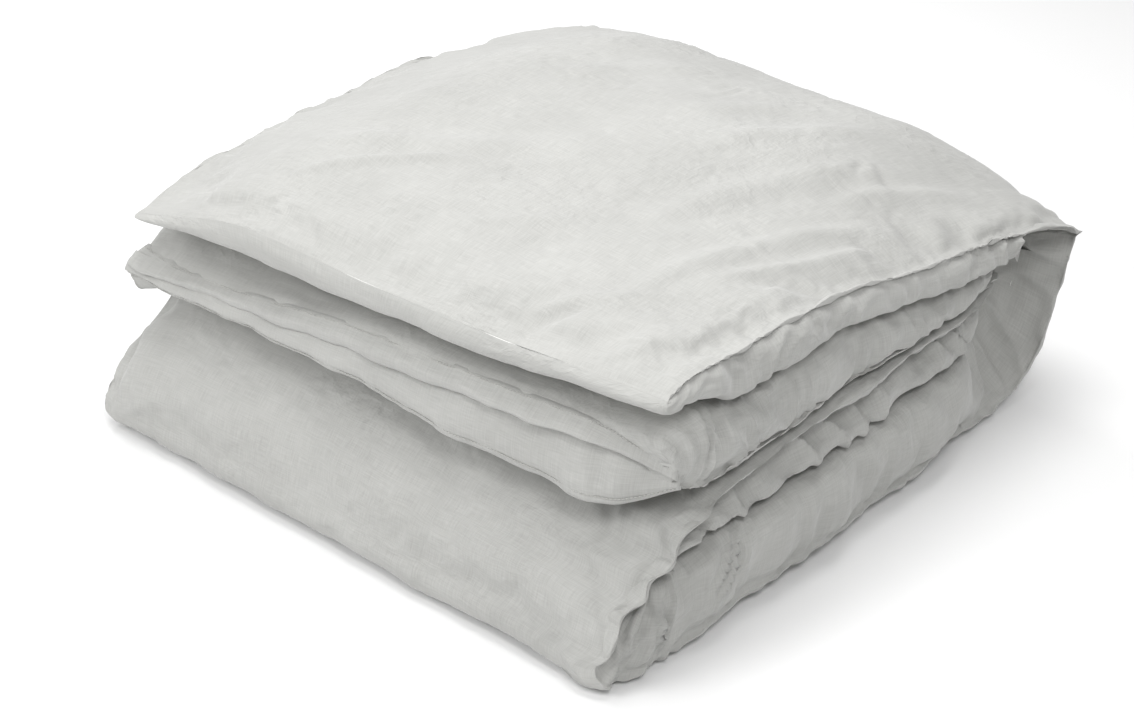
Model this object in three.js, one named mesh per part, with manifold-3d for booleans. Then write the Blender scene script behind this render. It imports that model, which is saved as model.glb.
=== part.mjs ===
// A single duvet in its cover, folded in four and lying on a flat surface.
//
// Millimetres, +Z up. The folded bundle stands on z = 0 with its middle over the origin.
// +X runs along the folds and +Y from the free ends and the big front fold to the rear wrap.
// Seen from the side, the strip runs: top quarter (free end in front), down the rear wrap,
// quarter 1 on the ground, up round the front fold, quarter 2, round the inner rear fold,
// and quarter 3, whose free end in front is the opening of the cover.

import * as THREE from 'three';
import { mergeVertices } from 'three/addons/utils/BufferGeometryUtils.js';
import Module from 'manifold-3d';

const wasm = await Module();
wasm.setup();

// ---- driving dimensions ----------------------------------------------------------------
const FOLDED_WIDTH = 690;        // along the folds, over the cover
const FOLDED_DEPTH = 680;        // front fold to rear wrap, over the cover
const QUARTER_LOFT = 78;         // thickness of quarters 1, 2 and 3
const TOP_LOFT = 60;             // thickness of the top quarter at its edges
const TOP_CROWN = 20;            // how far the middle of the top quarter swells above its edges
const WRAP_LOFT = 40;            // thickness of the rear wrap
const LAYER_GAP = 0.6;           // air between layers that lie on each other
const TOP_SETBACK = 34;          // front edge of the top quarter behind the front fold
const HEM_SETBACK = 28;          // front edge of the opening's hems behind the front fold
const EDGE_TAPER = 55;           // length over which a free end thins towards its seam
const EDGE_SHARE = 0.42;         // thickness left at a free end, as a share of the loft
const SIDE_ROUND = 16;           // rounding of the long side faces
const COVER_CLOTH = 0.9;         // wall of the cover's panels
const CASING_CLOTH = 0.6;        // wall of the insert's casing
const FIT_GAP = 0.3;             // gap kept between pieces that touch
const HEM_DEPTH = 22;            // the opening's hems, front to back
const HEM_THICKNESS = 1.8;       // three plies of cloth
const HEM_SIDE_MARGIN = 24;      // hem ends inside the bundle's sides
const BUTTON_COUNT = 6;
const BUTTON_DIAMETER = 12;
const BUTTON_THICKNESS = 2.6;
const BUTTON_RIM = 0.7;          // height of the raised rim above the button's dish

// ---- levels and stations that follow from them -------------------------------------------
const HALF_WIDTH = FOLDED_WIDTH / 2;
const FRONT = -FOLDED_DEPTH / 2;
const REAR = FOLDED_DEPTH / 2;
const WRAP_INSIDE = REAR - WRAP_LOFT - FIT_GAP;
const PITCH = QUARTER_LOFT + LAYER_GAP;
const FOLD_RADIUS = PITCH / 2;
const FOLD_REACH = FOLD_RADIUS + QUARTER_LOFT / 2;
const FRONT_FOLD_START = FRONT + FOLD_REACH;
const REAR_FOLD_START = WRAP_INSIDE - LAYER_GAP - FOLD_REACH;
const TOP_LEVEL = 3 * PITCH;
const WRAP_HEIGHT = TOP_LEVEL + TOP_LOFT;
const CASING_INSET = COVER_CLOTH + FIT_GAP;
const FILL_INSET = CASING_INSET + CASING_CLOTH + FIT_GAP;
const HEM_FRONT = FRONT + HEM_SETBACK;
const QUARTER_3_FRONT = HEM_FRONT + HEM_DEPTH + FIT_GAP;
const FOLD_STEPS = 10;
const TAPER_STEPS = 4;
const CROWN_STEPS = 8;

// ---- materials -------------------------------------------------------------------------
const cloth = (color, roughness) => new THREE.MeshStandardMaterial({ color, roughness, metalness: 0 });
const FINISH = {
  cover: cloth(0xc4c4c1, 0.92),
  hem: cloth(0xbebebb, 0.92),
  casing: cloth(0xe9e7e2, 0.85),
  fill: cloth(0xf4f3ef, 0.97),
  button: new THREE.MeshStandardMaterial({ color: 0xdcdcd8, roughness: 0.35, metalness: 0 }),
};

// ---- a strip of quilt, as stations along its middle line -----------------------------------
// Each station is { y, z, ty, tz, face, back }: a point, the running direction, and how far the
// quilt reaches from it towards the cover's face side and towards its back side.

const station = (y, z, ty, tz, face, back = face) => ({ y, z, ty, tz, face, back });

function edgeShare(distance) {
  const u = Math.min(distance / EDGE_TAPER, 1);
  return EDGE_SHARE + (1 - EDGE_SHARE) * Math.sqrt(1 - (1 - u) * (1 - u));
}

function fold(y, z, bulge, half) {
  const stations = [];
  for (let i = 0; i <= FOLD_STEPS; i += 1) {
    const a = -Math.PI / 2 + (Math.PI * i) / FOLD_STEPS;
    stations.push(station(
      y + bulge * FOLD_RADIUS * Math.cos(a), z + FOLD_RADIUS * Math.sin(a),
      -bulge * Math.sin(a), Math.cos(a), half,
    ));
  }
  return stations;
}

function stackStations() {
  const half = QUARTER_LOFT / 2;
  const level = (n) => half + n * PITCH;
  const quarter1 = [station(WRAP_INSIDE, level(0), -1, 0, half)];
  const frontFold = fold(FRONT_FOLD_START, level(0) + FOLD_RADIUS, -1, half);
  const rearFold = fold(REAR_FOLD_START, level(1) + FOLD_RADIUS, 1, half);
  const quarter3 = [];
  for (let i = TAPER_STEPS; i >= 0; i -= 1) {
    const distance = (EDGE_TAPER * i) / TAPER_STEPS;
    quarter3.push(station(QUARTER_3_FRONT + distance, level(2), -1, 0, half * edgeShare(distance)));
  }
  return [...quarter1, ...frontFold, ...rearFold, ...quarter3];
}

function topStations() {
  const half = TOP_LOFT / 2;
  const z = TOP_LEVEL + half;
  const start = FRONT + TOP_SETBACK;
  const length = WRAP_INSIDE - start;
  const distances = [];
  for (let i = 0; i < TAPER_STEPS; i += 1) distances.push((EDGE_TAPER * i) / TAPER_STEPS);
  for (let i = 0; i <= CROWN_STEPS; i += 1) {
    distances.push(EDGE_TAPER + ((length - EDGE_TAPER) * i) / CROWN_STEPS);
  }
  return distances.map((d) => {
    const swell = TOP_CROWN * Math.sin((Math.PI * d) / length);
    return station(start + d, z, 1, 0, half * edgeShare(d) + swell, half * edgeShare(d));
  });
}

function wrapStations() {
  const y = REAR - WRAP_LOFT / 2;
  return [station(y, WRAP_HEIGHT, 0, -1, WRAP_LOFT / 2), station(y, 0, 0, -1, WRAP_LOFT / 2)];
}

// Moves the first and last station inwards along the strip.
function shortened(stations, by) {
  const moved = stations.map((s) => ({ ...s }));
  const first = moved[0];
  const last = moved[moved.length - 1];
  first.y += first.ty * by;
  first.z += first.tz * by;
  last.y -= last.ty * by;
  last.z -= last.tz * by;
  return moved;
}

// The edge of the strip at a signed offset: towards the face side if positive.
const offsetPoint = (s, offset) => new THREE.Vector2(s.y - s.tz * offset, s.z + s.ty * offset);

// ---- solids ------------------------------------------------------------------------------
const ACROSS = new THREE.Matrix4().makeBasis(
  new THREE.Vector3(0, 1, 0), new THREE.Vector3(0, 0, 1), new THREE.Vector3(1, 0, 0),
);

function extrudeAcross(outline, halfWidth, round) {
  const options = { depth: 2 * (halfWidth - round), steps: 1, bevelEnabled: round > 0 };
  if (round > 0) {
    Object.assign(options, {
      bevelThickness: round, bevelSize: round, bevelOffset: -round, bevelSegments: 2,
    });
  }
  const geometry = new THREE.ExtrudeGeometry(new THREE.Shape(outline), options);
  geometry.translate(0, 0, -(halfWidth - round));
  geometry.applyMatrix4(ACROSS);
  return geometry;
}

function toSolid(geometry) {
  const bare = geometry.clone();
  bare.deleteAttribute('normal');
  bare.deleteAttribute('uv');
  const merged = mergeVertices(bare, 1e-4);
  return new wasm.Manifold(new wasm.Mesh({
    numProp: 3,
    vertProperties: new Float32Array(merged.attributes.position.array),
    triVerts: new Uint32Array(merged.index.array),
  }));
}

function toGeometry(solid) {
  const mesh = solid.getMesh();
  const geometry = new THREE.BufferGeometry();
  geometry.setAttribute('position', new THREE.BufferAttribute(mesh.vertProperties, 3));
  geometry.setIndex(new THREE.BufferAttribute(mesh.triVerts, 1));
  geometry.computeVertexNormals();
  return geometry;
}

// The full thickness of a strip, drawn in by an inset on every side.
function padGeometry(stations, inset) {
  const run = shortened(stations, inset);
  const outline = [
    ...run.map((s) => offsetPoint(s, s.face - inset)),
    ...run.map((s) => offsetPoint(s, inset - s.back)).reverse(),
  ];
  return extrudeAcross(outline, HALF_WIDTH - inset, SIDE_ROUND - inset);
}

// One panel of a hollow shell: the part of the wall on the face side (1) or back side (-1)
// of the middle line, where the two panels' seam runs.
function panelGeometry(stations, inset, wall, side) {
  const shell = toSolid(padGeometry(stations, inset)).subtract(toSolid(padGeometry(stations, inset + wall)));
  const run = shortened(stations, -1);
  const reach = (s) => (side > 0 ? s.face : s.back) + LAYER_GAP / 4;
  const seam = FIT_GAP / 2;
  const region = [
    ...run.map((s) => offsetPoint(s, side * reach(s))),
    ...run.map((s) => offsetPoint(s, side * seam)).reverse(),
  ];
  const cutter = toSolid(extrudeAcross(side > 0 ? region : region.reverse(), HALF_WIDTH + 1, 0));
  return toGeometry(shell.intersect(cutter));
}

// ---- the assembly ------------------------------------------------------------------------
const duvet = new THREE.Group();

function add(parent, name, geometry, material, x = 0, y = 0, z = 0) {
  const mesh = new THREE.Mesh(geometry, material);
  mesh.name = name;
  mesh.position.set(x, y, z);
  parent.add(mesh);
}

function addPanels(group, stations, where) {
  add(group, `cover_face_${where}`, panelGeometry(stations, 0, COVER_CLOTH, 1), FINISH.cover);
  add(group, `cover_back_${where}`, panelGeometry(stations, 0, COVER_CLOTH, -1), FINISH.cover);
  add(group, `casing_face_${where}`,
    panelGeometry(stations, CASING_INSET, CASING_CLOTH, 1), FINISH.casing);
  add(group, `casing_back_${where}`,
    panelGeometry(stations, CASING_INSET, CASING_CLOTH, -1), FINISH.casing);
}

// The insert's fill in the stack, cut where each quarter meets a fold. The levels between the
// quarters are 1 and 2; 0 and 3 are the ground and the underside of the top quarter.
function fillBlock(fill, yLow, yHigh, levelLow, levelHigh) {
  const depth = yHigh - yLow - FIT_GAP;
  const height = (levelHigh - levelLow) * PITCH - LAYER_GAP / 2;
  const box = new THREE.BoxGeometry(FOLDED_WIDTH, depth, height);
  box.translate(0, (yLow + yHigh) / 2, ((levelLow + levelHigh) * PITCH) / 2 - LAYER_GAP / 2);
  return toGeometry(fill.intersect(toSolid(box)));
}

// The bundle that stays on the ground: quarters 1 to 3 and the folds between them.
function addStack() {
  const group = new THREE.Group();
  const stations = stackStations();
  addPanels(group, stations, 'stack');
  const fill = toSolid(padGeometry(stations, FILL_INSET));
  const front = FRONT_FOLD_START;
  const rear = REAR_FOLD_START;
  add(group, 'fill_quarter_1', fillBlock(fill, front, REAR, 0, 1), FINISH.fill);
  add(group, 'fill_front_fold', fillBlock(fill, FRONT, front, 0, 2), FINISH.fill);
  add(group, 'fill_quarter_2', fillBlock(fill, front, rear, 1, 2), FINISH.fill);
  add(group, 'fill_inner_rear_fold', fillBlock(fill, rear, REAR, 1, 3), FINISH.fill);
  add(group, 'fill_quarter_3', fillBlock(fill, FRONT, rear, 2, 3), FINISH.fill);
  duvet.add(group);
}

// The rear wrap, which joins quarter 1 to the top quarter.
function addWrap() {
  const group = new THREE.Group();
  const stations = wrapStations();
  addPanels(group, stations, 'rear_wrap');
  add(group, 'fill_rear_wrap', padGeometry(stations, FILL_INSET), FINISH.fill);
  duvet.add(group);
}

// The top quarter, whose front edge is the cover's sewn head end.
function addTop() {
  const group = new THREE.Group();
  const stations = topStations();
  addPanels(group, stations, 'top_quarter');
  add(group, 'fill_top_quarter', padGeometry(stations, FILL_INSET), FINISH.fill);
  duvet.add(group);
}

function hemGeometry() {
  const halfWidth = HALF_WIDTH - HEM_SIDE_MARGIN;
  const round = HEM_THICKNESS / 3;
  const outline = [
    new THREE.Vector2(0, 0), new THREE.Vector2(HEM_DEPTH, 0),
    new THREE.Vector2(HEM_DEPTH, HEM_THICKNESS), new THREE.Vector2(0, HEM_THICKNESS),
  ];
  return extrudeAcross(outline, halfWidth, round);
}

function buttonGeometry() {
  const r = BUTTON_DIAMETER / 2;
  const dish = BUTTON_THICKNESS - BUTTON_RIM;
  const profile = [[0, 0], [r * 0.8, 0], [r, dish * 0.6], [r * 0.95, BUTTON_THICKNESS],
    [r * 0.75, BUTTON_THICKNESS], [r * 0.65, dish], [0, dish]];
  const geometry = new THREE.LatheGeometry(profile.map(([x, y]) => new THREE.Vector2(x, y)), 16);
  geometry.rotateX(Math.PI / 2);
  return geometry;
}

// The opening of the cover: an upper and a lower hem with the buttons between them.
function addOpening() {
  const group = new THREE.Group();
  const middle = QUARTER_LOFT / 2 + 2 * PITCH;
  const halfMouth = BUTTON_THICKNESS / 2 + FIT_GAP;
  add(group, 'opening_hem_upper', hemGeometry(), FINISH.hem, 0, HEM_FRONT, middle + halfMouth);
  add(group, 'opening_hem_lower', hemGeometry(), FINISH.hem,
    0, HEM_FRONT, middle - halfMouth - HEM_THICKNESS);
  const span = FOLDED_WIDTH - 2 * HEM_SIDE_MARGIN;
  for (let i = 0; i < BUTTON_COUNT; i += 1) {
    const x = -span / 2 + (span * (i + 0.5)) / BUTTON_COUNT;
    add(group, `button_${i + 1}`, buttonGeometry(), FINISH.button,
      x, HEM_FRONT + HEM_DEPTH / 2, middle - BUTTON_THICKNESS / 2);
  }
  duvet.add(group);
}

addStack();
addWrap();
addTop();
addOpening();

export default duvet;
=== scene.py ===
"""A single duvet in a plain pale grey cover, folded in four and laid on a pale floor.

The duvet is one long quilted bag. Seen from the side its strip runs from the sewn head end, along
the top quarter, down the rear wrap, along quarter 1 on the ground, up round the big front fold,
along quarter 2, round the inner rear fold, and along quarter 3 to the hemmed opening in front.
Every part of the cover is drawn from that one strip, so that the pieces meet without a step.
"""

import math

import bpy
import numpy as np
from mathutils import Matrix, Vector


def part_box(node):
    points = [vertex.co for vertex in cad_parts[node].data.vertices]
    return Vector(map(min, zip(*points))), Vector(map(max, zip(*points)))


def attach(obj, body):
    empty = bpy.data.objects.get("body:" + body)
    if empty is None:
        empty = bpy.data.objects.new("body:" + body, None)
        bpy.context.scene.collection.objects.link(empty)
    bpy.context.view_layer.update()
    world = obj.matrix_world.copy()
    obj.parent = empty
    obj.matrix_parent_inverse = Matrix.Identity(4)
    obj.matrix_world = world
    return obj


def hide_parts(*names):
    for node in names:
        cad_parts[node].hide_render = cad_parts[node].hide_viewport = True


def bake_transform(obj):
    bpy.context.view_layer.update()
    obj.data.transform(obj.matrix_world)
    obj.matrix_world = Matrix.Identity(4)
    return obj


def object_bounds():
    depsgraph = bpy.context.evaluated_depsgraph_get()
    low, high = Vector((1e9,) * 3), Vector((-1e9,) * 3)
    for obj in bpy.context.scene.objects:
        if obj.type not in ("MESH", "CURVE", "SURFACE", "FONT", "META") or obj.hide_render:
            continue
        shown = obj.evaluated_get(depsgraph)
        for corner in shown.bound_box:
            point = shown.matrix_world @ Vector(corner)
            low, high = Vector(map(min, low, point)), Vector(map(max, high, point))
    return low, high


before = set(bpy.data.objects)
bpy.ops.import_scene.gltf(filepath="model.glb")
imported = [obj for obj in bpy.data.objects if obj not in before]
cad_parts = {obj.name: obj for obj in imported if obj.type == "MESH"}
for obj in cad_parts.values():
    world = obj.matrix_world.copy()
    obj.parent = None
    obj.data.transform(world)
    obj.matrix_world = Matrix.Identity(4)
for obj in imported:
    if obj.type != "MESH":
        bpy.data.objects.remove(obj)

LOW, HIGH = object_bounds()

# ---- sizes and places, in metres; depths are measured back from the front fold -------------------
FRONT = LOW.y
HALF_WIDTH = HIGH.x - 0.005
STEP = 0.0034          # mesh size along the strip
EDGE_BAND = 0.055                            # how far in from a side seam the face panel rounds
COVER_TO_INSERT = 0.016


def rng(seed):
    return np.random.default_rng(seed)


# ---- small fields that crease and ruffle the cloth -----------------------------------------------
def smooth(t):
    t = np.clip(t, 0.0, 1.0)
    return t * t * (3 - 2 * t)


def ramp(value, start, end):
    return smooth((value - start) / (end - start))


def waves(u, v, size, seed, count=14):
    """Soft random relief with features of about the given size."""
    r = rng(seed)
    out = np.zeros(np.broadcast(u, v).shape)
    for _ in range(count):
        angle = r.uniform(0, math.tau)
        k = math.tau / (size * r.uniform(0.7, 1.7))
        along = u * math.cos(angle) + v * math.sin(angle)
        out = out + np.sin(k * along + r.uniform(0, math.tau))
    return out / math.sqrt(count)


def crumple(u, v, size, seed):
    """Sharp little ridges between shallow hollows, as washed cloth creases."""
    bend_u = u + 0.35 * size * waves(u, v, size * 1.6, seed + 50, 8)
    bend_v = v + 0.35 * size * waves(u, v, size * 1.6, seed + 51, 8)
    a = waves(bend_u, bend_v, size, seed, 10)
    b = waves(bend_u, bend_v, size * 0.55, seed + 1, 10)
    return (0.65 - np.abs(a)) * 0.7 + (0.5 - np.abs(b)) * 0.3


def crease(u, v, start, end, width, height, bow=0.0):
    """One long soft fold from start to end, bowed sideways, fading at both ends."""
    (u0, v0), (u1, v1) = start, end
    length = math.hypot(u1 - u0, v1 - v0)
    du, dv = (u1 - u0) / length, (v1 - v0) / length
    along = ((u - u0) * du + (v - v0) * dv) / length
    across = (v - v0) * du - (u - u0) * dv - bow * 4 * along * (1 - along)
    fade = ramp(along, -0.05, 0.25) * ramp(along, 1.05, 0.7)
    return height * fade * np.exp(-((across / width) ** 2))


def table(value, pairs):
    """Smooth curve through a few (place, height) pairs."""
    xs, ys = zip(*pairs)
    lo, hi = xs[0], xs[-1]
    fine = np.linspace(lo, hi, 240)
    plain = np.interp(fine, xs, ys)
    kernel = np.hanning(31)
    padded = np.pad(plain, 15, mode="edge")
    return np.interp(value, fine, np.convolve(padded, kernel / kernel.sum(), mode="valid"))


# ---- the strip, seen from the side ---------------------------------------------------------------
# Each row is a station: face panel (y, z) and back panel (y, z). Between them lies the fill.
TOP_ROWS = [
    (0.034, 0.284, 0.034, 0.284), (0.037, 0.2865, 0.0285, 0.276), (0.042, 0.288, 0.026, 0.264),
    (0.052, 0.290, 0.030, 0.250), (0.070, 0.293, 0.045, 0.241), (0.110, 0.298, 0.100, 0.238),
    (0.200, 0.305, 0.200, 0.238), (0.320, 0.308, 0.320, 0.238), (0.440, 0.303, 0.440, 0.238),
    (0.540, 0.292, 0.540, 0.238),
]
UPPER_WRAP_ROWS = [
    (0.600, 0.279, 0.585, 0.237), (0.645, 0.257, 0.612, 0.228), (0.672, 0.222, 0.632, 0.205),
    (0.682, 0.180, 0.640, 0.175), (0.682, 0.140, 0.641, 0.145),
]
LOWER_WRAP_ROWS = [
    (0.675, 0.095, 0.638, 0.120), (0.655, 0.045, 0.625, 0.103), (0.620, 0.014, 0.600, 0.0975),
    (0.580, 0.002, 0.570, 0.097), (0.530, 0.000, 0.530, 0.097),
]
QUARTER_1_ROWS = [(0.400, 0.0, 0.400, 0.097), (0.250, 0.0, 0.250, 0.097), (0.140, 0.0, 0.160, 0.097)]
FRONT_FOLD_ROWS = [
    (0.070, 0.000, 0.092, 0.0955), (0.020, 0.000, 0.070, 0.094), (-0.005, 0.003, 0.061, 0.0935),
    (-0.014, 0.016, 0.057, 0.094), (-0.009, 0.036, 0.0565, 0.0945), (0.004, 0.062, 0.0565, 0.095),
    (0.024, 0.088, 0.058, 0.0965), (0.050, 0.114, 0.066, 0.099), (0.088, 0.139, 0.090, 0.1015),
    (0.140, 0.1535, 0.140, 0.1025),
]
QUARTER_2_ROWS = [(0.250, 0.156, 0.250, 0.103), (0.400, 0.156, 0.400, 0.103), (0.520, 0.156, 0.520, 0.103)]
REAR_FOLD_ROWS = [
    (0.560, 0.1575, 0.565, 0.104), (0.572, 0.159, 0.600, 0.112), (0.576, 0.1605, 0.622, 0.135),
    (0.576, 0.162, 0.630, 0.165), (0.573, 0.1635, 0.622, 0.200), (0.565, 0.165, 0.597, 0.226),
    (0.545, 0.166, 0.560, 0.234),
]
QUARTER_3_ROWS = [
    (0.400, 0.1665, 0.400, 0.236), (0.250, 0.167, 0.250, 0.236), (0.130, 0.168, 0.130, 0.236),
    (0.085, 0.169, 0.085, 0.2335), (0.060, 0.171, 0.057, 0.229), (0.047, 0.176, 0.040, 0.223),
    (0.041, 0.184, 0.034, 0.212), (0.040, 0.196, 0.040, 0.200),
]
PARTS = {
    "top_quarter": TOP_ROWS, "upper_wrap": UPPER_WRAP_ROWS, "lower_wrap": LOWER_WRAP_ROWS,
    "quarter_1": QUARTER_1_ROWS, "front_fold": FRONT_FOLD_ROWS, "quarter_2": QUARTER_2_ROWS,
    "rear_fold": REAR_FOLD_ROWS, "quarter_3": QUARTER_3_ROWS,
}


def strip():
    """The whole strip at an even step: rows of (y, z, y, z), the run s, and where each part ends."""
    rows = np.array([row for part in PARTS.values() for row in part])
    widest = np.maximum(np.hypot(*np.diff(rows[:, :2], axis=0).T),
                        np.hypot(*np.diff(rows[:, 2:], axis=0).T))
    run = np.concatenate([[0], np.cumsum(widest)])
    s = np.linspace(0, run[-1], int(run[-1] / STEP) + 1)
    out = np.stack([np.interp(s, run, column) for column in rows.T], axis=1)
    reach = max(2, int(0.014 / STEP))
    kernel = np.hanning(2 * reach + 3)[1:-1]
    kernel /= kernel.sum()
    for _ in range(2):
        for c in range(4):
            column = out[:, c]
            head, tail = 2 * column[0] - column[reach:0:-1], 2 * column[-1] - column[-2:-reach - 2:-1]
            out[:, c] = np.convolve(np.concatenate([head, column, tail]), kernel, mode="valid")
    ends, count = {}, 0
    for name, part in PARTS.items():
        count += len(part)
        ends[name] = run[count - 1]
    return out, s, ends


STRIP, RUN, PART_END = strip()


def span(name):
    """First and last run of one part of the strip."""
    names = list(PARTS)
    i = names.index(name)
    return (PART_END[names[i - 1]] if i else 0.0), PART_END[name]


# ---- how the layers settle: levels that depend on the place --------------------------------------
# Each table is (place, height). FRONT tables run across the front, SIDE tables back along the right.
FRONT_1 = [(-0.34, 0.078), (-0.26, 0.098), (0.34, 0.100)]
FRONT_2 = [(-0.34, 0.112), (-0.30, 0.138), (-0.24, 0.156), (0.0, 0.160), (0.34, 0.166)]
FRONT_3 = [(-0.34, 0.190), (-0.27, 0.198), (-0.18, 0.208), (-0.08, 0.226), (0.0, 0.239), (0.11, 0.247),
           (0.20, 0.253), (0.29, 0.262), (0.34, 0.262)]
FRONT_LIP = [(-0.34, 0.226), (-0.20, 0.236), (0.0, 0.243), (0.10, 0.250), (0.18, 0.257), (0.26, 0.270),
             (0.32, 0.280), (0.36, 0.282)]
FRONT_4 = [(-0.34, 0.276), (-0.10, 0.280), (0.0, 0.279), (0.10, 0.284), (0.18, 0.287), (0.26, 0.296),
           (0.34, 0.302)]
SIDE_3 = [(0.03, 0.270), (0.07, 0.264), (0.12, 0.250), (0.17, 0.242), (0.30, 0.238), (0.37, 0.227),
          (0.45, 0.210), (0.52, 0.202), (0.58, 0.196), (0.66, 0.184)]
SIDE_4 = [(0.03, 0.300), (0.06, 0.292), (0.12, 0.285), (0.22, 0.276), (0.29, 0.262), (0.35, 0.250),
          (0.43, 0.236), (0.52, 0.231), (0.59, 0.225), (0.68, 0.212)]


def corner_round(x):
    """How far the third quarter's front right corner is rounded off, seen from above."""
    return 0.034 * ramp(x, 0.235, 0.36) ** 1.4


def settle(points):
    """Moves the stack's plain levels to where the soft layers really lie."""
    x, y, z = points[..., 0], points[..., 1], points[..., 2]
    front = ramp(y, 0.15, 0.045)
    right = ramp(x, 0.06 + 0.10 * ramp(y, 0.22, 0.50), 0.335)

    def level(inside, across_front, down_side=None):
        base = inside if down_side is None else inside + (table(y, down_side) - inside) * right
        return base + (table(x, across_front) - base) * front

    level_1 = level(0.100 + 0.008 * ramp(x, -0.15, 0.34), FRONT_1)
    level_2 = level(0.160 + 0.008 * right, FRONT_2)
    inner_3 = 0.238 - 0.014 * ramp(y, 0.25, 0.62)
    level_3 = level(inner_3, FRONT_3, SIDE_3)
    lip = np.maximum(level(inner_3 + 0.002, FRONT_LIP, SIDE_3), level_3 + 0.002)
    level_4 = level(0.285 - 0.013 * ramp(y, 0.35, 0.64), FRONT_4, SIDE_4)
    thin = 1 - 0.90 * ramp(x, -0.13, -0.345)
    plain = [0.0, 0.100, 0.160, 0.2368, 0.2378, 0.285, 0.32]
    real = [0 * x, level_1, level_2, level_3, lip, lip + (level_4 - lip) * thin,
            lip + (level_4 + 0.035 - lip) * thin]
    out = np.where(z > plain[-1], real[-1] + (z - plain[-1]) * thin, z)
    for i in range(len(plain) - 1):
        inside = (z > plain[i]) & (z <= plain[i + 1])
        share = (z - plain[i]) / (plain[i + 1] - plain[i])
        out = np.where(inside, real[i] + share * (real[i + 1] - real[i]), out)
    rear_corner = ramp(x, 0.12, 0.33) * ramp(y, 0.50, 0.66) * ramp(z, 0.06, 0.20)
    third_front = ramp(y, 0.16, 0.03) * ramp(z, 0.160, 0.170) * ramp(z, 0.2378, 0.2368)
    back = 0.020 * rear_corner + corner_round(x) * third_front
    return np.stack([x, y + back, np.maximum(out, 0.0006)], axis=-1)


# ---- columns across the strip --------------------------------------------------------------------
def columns():
    """Across the strip, from the right seam over the face panel to the left seam and back over the
    back panel: side (+1 or -1), distance in from the seam, share across the band, and which panel."""
    edge = max(8, int(EDGE_BAND * 1.57 / STEP))
    face_in = EDGE_BAND * (1 - np.cos(np.linspace(0, math.pi / 2, edge)))
    inner = np.linspace(face_in[-1], HALF_WIDTH, int((HALF_WIDTH - EDGE_BAND) / STEP))[1:]
    face_half = np.concatenate([face_in, inner])
    face = [(1, d, 0.0, 1) for d in face_half] + [(-1, d, 0.0, 1) for d in face_half[-2::-1]]
    band = np.linspace(0, 1, max(14, int(0.100 / STEP)))[1:]
    flat = np.linspace(0, 1, max(4, int(0.28 / (3.5 * STEP))))[1:]
    back_half = [(v, 0.0) for v in band] + [(1.0, f) for f in flat]
    back = [(-1, f, v, -1) for v, f in back_half] + [(1, f, v, -1) for v, f in back_half[-2::-1]]
    return np.array(face + back)


COLUMNS = columns()


# ---- the cover's shape ---------------------------------------------------------------------------
def keyed(s, keys):
    """Values along the run from keys of (part, share of the part, value), eased from key to key."""
    places, values = [], []
    for part, share, value in keys:
        a, b = span(part)
        places.append(a + share * (b - a))
        values.append(np.asarray(value, dtype=float))
    places, values = np.array(places), np.array(values)
    i = np.clip(np.searchsorted(places, s) - 1, 0, len(places) - 2)
    t = smooth((s - places[i]) / (places[i + 1] - places[i]))
    t = t.reshape(t.shape + (1,) * (values.ndim - 1))
    return values[i] * (1 - t) + values[i + 1] * t


def through(points, t):
    """Weights that draw an even smooth curve through a row of points at shares t."""
    count = len(points)
    place = t * (count - 1)
    i = np.clip(place.astype(int), 0, count - 2)
    f = place - i
    weights = np.zeros((len(t), count))
    cubic = [-0.5 * f + f**2 - 0.5 * f**3, 1 - 2.5 * f**2 + 1.5 * f**3,
             0.5 * f + 2 * f**2 - 1.5 * f**3, -0.5 * f**2 + 0.5 * f**3]
    for step, weight in zip((-1, 0, 1, 2), cubic):
        np.add.at(weights, (np.arange(len(t)), np.clip(i + step, 0, count - 1)), weight)
    return weights


# The side band from the seam round to the back panel: (outwards from the seam, level), where level
# is 1 at the face panel and -1 at the back panel. The second point tucks in under the seam's ridge.
BANDS = {
    "top": [(0, 0.97), (-0.0035, 0.86), (0.002, 0.55), (0.004, 0.15), (0.004, -0.35), (0.000, -0.75),
            (-0.012, -0.96), (-0.035, -1)],
    "wrap": [(0, 0.97), (-0.008, 0.84), (-0.024, 0.55), (-0.042, 0.20), (-0.052, -0.20), (-0.056, -0.60),
             (-0.060, -0.90), (-0.075, -1)],
    "ground": [(0, 0.62), (-0.003, 0.50), (0.004, 0.25), (0.006, -0.10), (0.005, -0.45), (0.000, -0.78),
               (-0.012, -0.96), (-0.045, -1)],
    "fan": [(0, 0.86), (0.000, 0.66), (0.003, 0.40), (0.003, 0.12), (0.002, -0.20), (-0.001, -0.50),
            (-0.010, -0.80), (-0.044, -1)],
    "recess": [(0, 0.84), (-0.014, 0.76), (-0.030, 0.55), (-0.036, 0.25), (-0.034, -0.10), (-0.026, -0.45),
               (-0.018, -0.76), (-0.044, -1)],
    "second": [(0, 0.84), (-0.013, 0.78), (-0.024, 0.54), (-0.022, 0.18), (-0.014, -0.20), (-0.006, -0.58),
               (-0.008, -0.90), (-0.044, -1)],
    "rear": [(0, 0.92), (-0.010, 0.80), (-0.020, 0.50), (-0.026, 0.15), (-0.026, -0.25), (-0.028, -0.62),
             (-0.038, -0.90), (-0.060, -1)],
    "third": [(0, 0.95), (-0.003, 0.82), (0.003, 0.52), (0.006, 0.15), (0.005, -0.30), (-0.002, -0.70),
              (-0.014, -0.94), (-0.040, -1)],
}
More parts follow.
